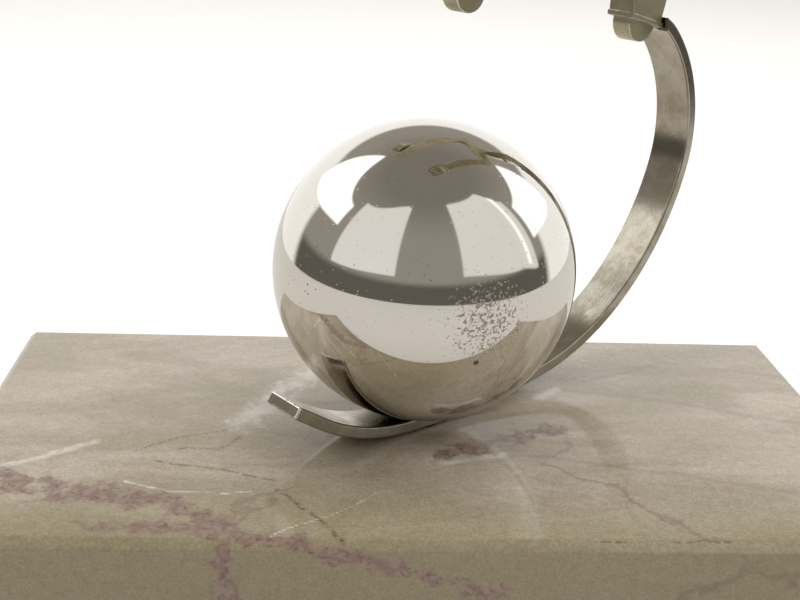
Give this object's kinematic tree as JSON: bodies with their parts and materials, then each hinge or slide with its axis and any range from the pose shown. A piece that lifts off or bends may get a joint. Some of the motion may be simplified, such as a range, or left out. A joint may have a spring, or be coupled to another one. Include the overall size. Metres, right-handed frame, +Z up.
{
  "type": "desk swing toy",
  "caption": "Polished metal ball cradled by a flat crescent band on a stone plinth, with a rocking two-rail yoke on the band's high end.",
  "frame": {"origin": "On the table, under the centre stud, at the underside of the rubber feet. The stud stands 2 mm behind the plinth's middle, and the band's outermost bend reaches 4 mm past the plinth's back edge, so this point is the centre of the whole part's footprint.", "axes": "+X along the plinth's long side, +Y across it to the back, +Z up. The crescent lies in a vertical plane turned 36.3 degrees from +X about +Z, its high end towards +X +Y."},
  "size_m": [0.226, 0.124, 0.1592],
  "materials": {
    "stone": "polished taupe marble with brown and white veins",
    "feet_rubber": "matt black rubber",
    "plug_nylon": "natural nylon",
    "screw_steel": "zinc-plated steel",
    "stud_steel": "turned bright steel",
    "spring_steel": "dark spring steel",
    "nut_steel": "yellow-passivated steel",
    "slip_fibre": "brown vulcanised fibre",
    "band_nickel": "worn, slightly yellowed nickel plate",
    "bush_brass": "turned brass",
    "seat_plastic": "off-white acetal",
    "cast_nickel": "aged nickel-plated casting with bright worn edges",
    "ball_nickel": "mirror nickel with fine pits"
  },
  "bodies": {
    "base": {"plinth": "stone", "rubber_feet": "feet_rubber", "foot_plugs": "plug_nylon", "foot_screws": "screw_steel", "centre_stud": "stud_steel", "stud_washer": "screw_steel", "spring_washer": "spring_steel", "stud_nut": "nut_steel", "slip_washer": "slip_fibre", "grip_ring": "feet_rubber"},
    "crescent": {"crescent_band": "band_nickel", "band_bush": "bush_brass", "seat_washer": "seat_plastic", "clamp_tongue": "cast_nickel", "pivot_lug": "band_nickel", "clamp_pins": "stud_steel"},
    "ball": {"ball": "ball_nickel", "ball_bush": "bush_brass"},
    "yoke": {"rocker_post": "cast_nickel", "pivot_pin": "stud_steel", "pivot_clips": "spring_steel", "cross_head": "cast_nickel", "post_screw": "screw_steel", "near_rail": "cast_nickel", "far_rail": "cast_nickel", "rail_screws": "screw_steel", "near_tip": "cast_nickel", "far_tip": "cast_nickel", "tip_pins": "stud_steel"}
  },
  "joints": [
    {"name": "crescent_swivel", "type": "hinge", "parent": "base", "child": "crescent", "pos_m": [0, 0, 0.029], "axis": [0, 0, 1], "continuous": true},
    {"name": "ball_turn", "type": "hinge", "parent": "base", "child": "ball", "pos_m": [0, 0, 0.0703], "axis": [0, 0, 1], "continuous": true},
    {"name": "yoke_rock", "type": "hinge", "parent": "crescent", "child": "yoke", "pos_m": [0.05816, 0.04272, 0.14416], "axis": [-0.592, 0.8059, 0], "range_deg": [0, 5]}
  ]
}
